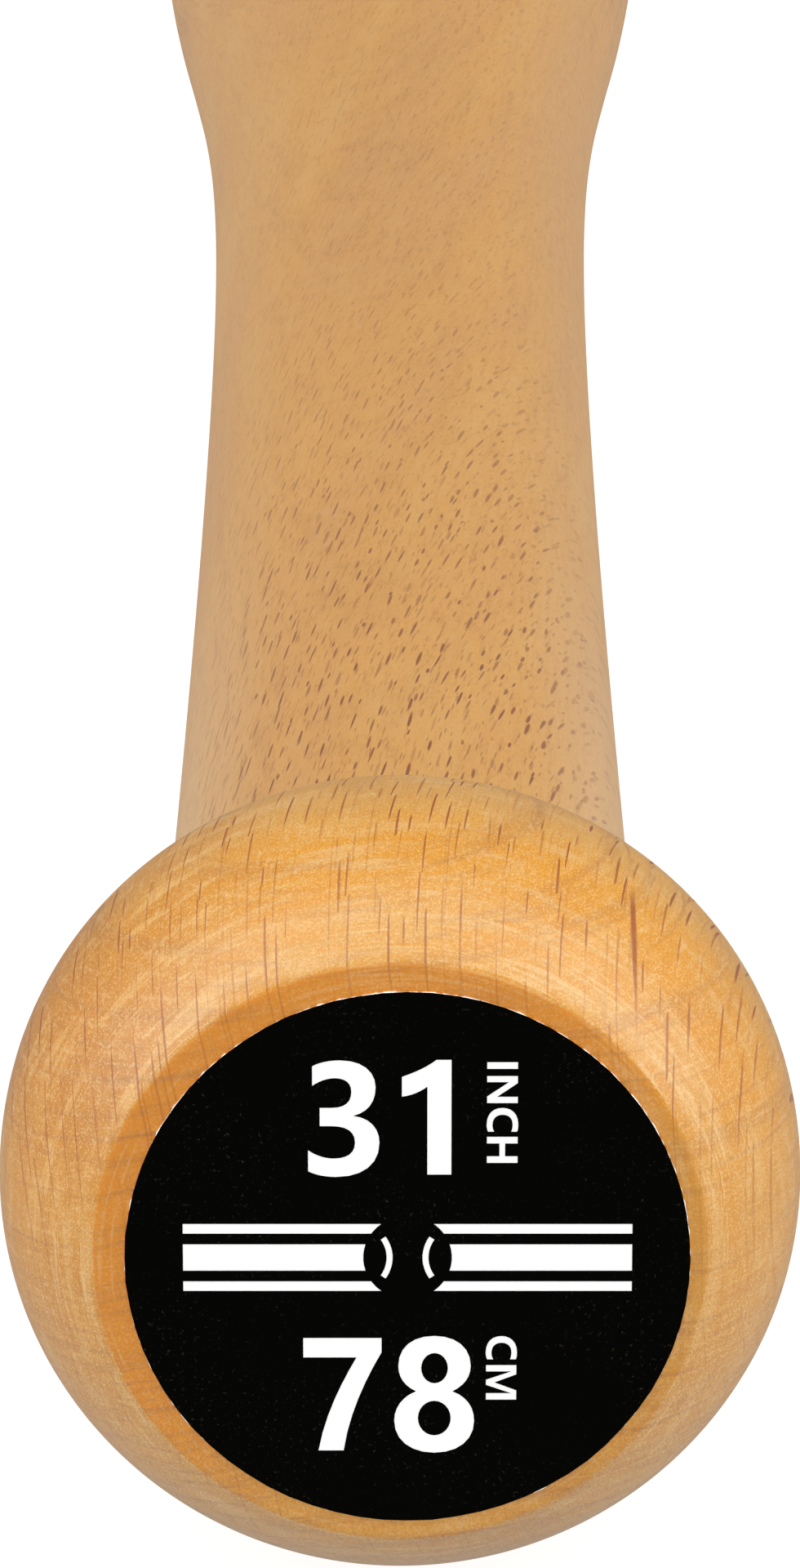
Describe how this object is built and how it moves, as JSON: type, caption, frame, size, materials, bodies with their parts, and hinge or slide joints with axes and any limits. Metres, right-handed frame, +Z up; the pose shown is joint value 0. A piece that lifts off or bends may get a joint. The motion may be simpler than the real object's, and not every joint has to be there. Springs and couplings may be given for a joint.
{
  "type": "baseball bat",
  "caption": "Turned wooden baseball bat with a rounded knob, a slim handle, a tapered barrel and a round size label on the knob's end.",
  "frame": {"origin": "on the bat's axis, in the outer face of the knob's label", "axes": "+Y along the bat from the knob to the barrel, +Z up with the label's figures upright, +X to the label's right as it is read"},
  "size_m": [0.0568, 0.7874, 0.0568],
  "materials": {
    "beech": "clear lacquer, satin gloss, on turned beech",
    "label_white": "white label stock, matte",
    "label_black": "black print, satin"
  },
  "bodies": {
    "root": {"bat_body": "beech", "label_stock": "label_white", "label_print": "label_black", "label_print_eight_upper": "label_black", "label_print_eight_lower": "label_black"}
  },
  "joints": []
}
